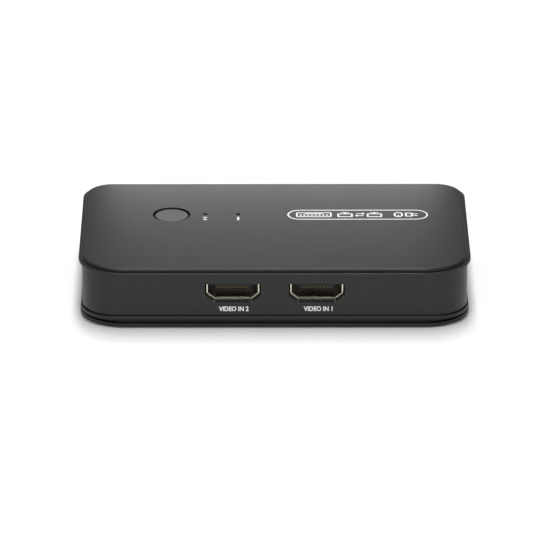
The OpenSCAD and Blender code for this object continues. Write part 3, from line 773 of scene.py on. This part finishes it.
def keyboard_picture(work, x):
    frame_shape(work, x, 0, 10.2, TALL, STROKE, 0.7)
    for row in (0.62, -0.1):
        for i in range(8):
            bar_shape(work, x + (i - 3.5) * 1.08, row, 0.62, 0.4)
    bar_shape(work, x, -0.82, 5.2, 0.4)


def screen_picture(work, x):
    frame_shape(work, x, 0.45, 4.4, 2.6, STROKE, 0.35)
    bar_shape(work, x, -1.15, 0.7, 0.6)
    bar_shape(work, x, -1.6, 2.4, 0.32)


def arrows_picture(work, x):
    for side in (-1, 1):
        y = side * 0.75
        bar_shape(work, x - side * 0.25, y, 1.7, 0.42)
        tip = x + side * 1.5
        root = x + side * 0.6
        points = [(tip, y), (root, y + side * 0.75), (root, y - side * 0.75)]
        patch(work, points)


def mouse_picture(work, x):
    frame_shape(work, x, 0, 2.6, TALL, STROKE, 1.25)
    bar_shape(work, x, 0.65, 0.42, 0.9)


def plug_picture(work, x):
    frame_shape(work, x + 0.8, 0, 2.2, 2.8, STROKE, 0.4)
    for side in (-1, 1):
        bar_shape(work, x - 1.0, side * 0.6, 1.4, 0.45)


def lid_pictures(work):
    keyboard_picture(work, 12.5)
    screen_picture(work, 3.6)
    arrows_picture(work, -0.6)
    screen_picture(work, -4.8)
    mouse_picture(work, -11.6)
    plug_picture(work, -15.4)


half_turn = Matrix.Rotation(math.pi, 4, "Z")
on_lid = Matrix.Translation(Vector((PILL_AT[0], PILL_AT[1], LID_TOP - INK / 4)) * MM) @ half_turn
film("printed_pictures", lid_pictures, on_lid)


# %% [markdown]
# ## Words and figures
# Words and figures start as text objects, because drawing letters from bars would never look printed.
# A text object is a curve, so it is turned into a mesh first, and only then scaled to the printed
# height and width, turned, and laid on its wall.


# %% Lettering
TEXT_DEPTH = 0.001


def lettering(name, words, place, height_mm, width_mm=None, bolder=0.027):
    """A word as a film of ink, centred on its place, with the height of its capitals given."""
    text = bpy.data.curves.new(name, "FONT")
    text.body = words
    text.align_x = "CENTER"
    text.offset = bolder
    text.extrude = TEXT_DEPTH
    text.resolution_u = 4
    holder = bpy.data.objects.new(name, text)
    bpy.context.scene.collection.objects.link(holder)
    graph = bpy.context.evaluated_depsgraph_get()
    mesh = bpy.data.meshes.new_from_object(holder.evaluated_get(graph), depsgraph=graph)
    bpy.data.objects.remove(holder)
    xs = [v.co.x for v in mesh.vertices]
    ys = [v.co.y for v in mesh.vertices]
    scale_y = height_mm / (max(ys) - min(ys))
    scale_x = width_mm / (max(xs) - min(xs)) if width_mm else scale_y
    centre = Vector(((max(xs) + min(xs)) / 2, (max(ys) + min(ys)) / 2, 0))
    mesh.transform(Matrix.Translation(-centre))
    scale_z = INK / 4 / TEXT_DEPTH
    mesh.transform(Matrix.Diagonal((scale_x * MM, scale_y * MM, scale_z * MM, 1)))
    mesh.transform(place)
    mesh.name = name
    mesh.materials.clear()
    mesh.materials.append(white_ink)
    piece = bpy.data.objects.new(name, mesh)
    bpy.context.scene.collection.objects.link(piece)
    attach(piece, "case")


def on_wall(x, y, z):
    """The place of a word on one of the long walls, upright and facing out."""
    facing = Matrix.Rotation(math.pi if y > 0 else 0, 4, "Z") @ Matrix.Rotation(math.pi / 2, 4, "X")
    return Matrix.Translation(Vector((x, y, z)) * MM) @ facing


def on_top(x, y):
    """The place of a figure on the lid, read from the user's side."""
    return Matrix.Translation(Vector((x, y, LID_TOP)) * MM) @ half_turn


def middle_x(piece):
    """The middle of a frame piece along the case, in millimetres."""
    low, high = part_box(piece)
    return (low.x + high.x) / 2 / MM


WALL_Y = 32.0
WORD_Z = 5.6
CAPITALS = 1.45
FIGURE_Y = 5.2
FIGURE_HEIGHT = 2.4
figure_2_place = on_top(middle_x("light_pipe_2"), FIGURE_Y)
figure_1_place = on_top(middle_x("light_pipe_1"), FIGURE_Y)
lettering("figure_light_2", "2", figure_2_place, FIGURE_HEIGHT, 1.25, bolder=0.01)
lettering("figure_light_1", "1", figure_1_place, FIGURE_HEIGHT, 0.6, bolder=0.0)
lettering("word_video_in_2", "VIDEO IN 2", on_wall(-11.45, -WALL_Y, WORD_Z), CAPITALS, 8.3)
lettering("word_video_in_1", "VIDEO IN 1", on_wall(12.1, -WALL_Y, WORD_Z), CAPITALS, 8.05)
user_words = {
    "usb_keyboard": "KEYBOARD",
    "usb_mouse": "MOUSE",
    "video_out": "VIDEO OUT",
    "usb_computer_1": "PC 1",
    "usb_computer_2": "PC 2",
}
for socket_name, words in user_words.items():
    word_place = on_wall(middle_x(socket_name + "_shell"), WALL_Y, WORD_Z)
    lettering("word_" + socket_name, words, word_place, CAPITALS)
print("printed words:", 4 + len(user_words))

# %% [markdown]
# ## The camera
# The view is that of a long lens, about one and a half metres away and 23 degrees above the table, so
# the box is seen almost without perspective. An orthographic camera would lose the last of it, and
# with it the slight narrowing of the lid towards the far side.

# %% Camera
VIEW_LENS = 346.5
VIEW_DISTANCE = 1.462
VIEW_HEIGHT = math.radians(22.8)
VIEW_TURN = math.radians(-0.14)
LOOK_AT = Vector((-2.24, 0, 4.94)) * MM

camera_data = bpy.data.cameras.new("studio_camera")
camera_data.lens = VIEW_LENS
camera_data.sensor_width = 36
camera_data.clip_end = 20
camera = bpy.data.objects.new("studio_camera", camera_data)
away = Vector(
    (
        math.sin(VIEW_TURN) * math.cos(VIEW_HEIGHT),
        -math.cos(VIEW_TURN) * math.cos(VIEW_HEIGHT),
        math.sin(VIEW_HEIGHT),
    )
)
camera.location = LOOK_AT + away * VIEW_DISTANCE
camera.rotation_euler = away.to_track_quat("Z", "Y").to_euler()
bpy.context.scene.collection.objects.link(camera)
bpy.context.scene.camera = camera
print("camera at", [round(c, 3) for c in camera.location])

# %% [markdown]
# ## The floor
# The box stands on a wide sheet of white card, level with the underside of its feet. The sheet only
# has to be larger than the view.

# %% Floor
table_card = finish("white_table_card", "#F6F6F6", "#F2F2F2", (0.7, 0.8), 0.8, 0.002)
REACH = 3
card = bpy.data.meshes.new("floor")
corners = [(-REACH, -REACH, 0), (REACH, -REACH, 0), (REACH, REACH, 0), (-REACH, REACH, 0)]
card.from_pydata(corners, [], [(0, 1, 2, 3)])
card.materials.append(table_card)
floor = bpy.data.objects.new("floor", card)
bpy.context.scene.collection.objects.link(floor)
print("floor:", 2 * REACH, "m wide")

# %% [markdown]
# ## Light
# The table fades to white and only a soft shadow shows in front of the case. It comes from a lamp
# overhead that is narrow from side to side and deep from front to back, so that the sides get almost
# no shadow. A small lamp low behind the case skims the lid: it is near, so the lid's far edge gets much
# more of it than the near edge. Two tall soft boxes at the sides draw the soft upright lines on the
# rounded corners, and a low one in front lights the printed words and the tongues of the sockets.


# %% Lamps
def soft_box(name, place, aim, size, watts):
    """A rectangular lamp at a place, turned towards a point. It is never seen itself."""
    lamp_data = bpy.data.lights.new(name, "AREA")
    lamp_data.shape = "RECTANGLE"
    lamp_data.size, lamp_data.size_y = size
    lamp_data.energy = watts
    lamp = bpy.data.objects.new(name, lamp_data)
    lamp.location = place
    lamp.rotation_euler = (Vector(place) - Vector(aim)).to_track_quat("Z", "Y").to_euler()
    lamp.visible_camera = False
    bpy.context.scene.collection.objects.link(lamp)


soft_box("overhead", (0, 0.2, 1.4), (0, 0, 0), (0.3, 1.5), 21)
soft_box("behind", (0, 0.075, 0.028), (0, 0, 0.018), (0.1, 0.014), 0.0185)
soft_box("left_side", (-0.6, -0.35, 0.25), (0, 0, 0), (0.2, 0.5), 0.16)
soft_box("right_side", (0.6, -0.35, 0.25), (0, 0, 0), (0.2, 0.5), 0.16)
soft_box("front", (0, -1.2, 0.4), (0, 0, 0), (0.8, 0.3), 4.9)

world = bpy.data.worlds.new("white_room")
world.use_nodes = True
surround = world.node_tree.nodes["Background"]
surround.inputs["Color"].default_value = (1, 1, 1, 1)
surround.inputs["Strength"].default_value = 0.17
bpy.context.scene.world = world
bpy.context.scene.view_settings.view_transform = "Standard"
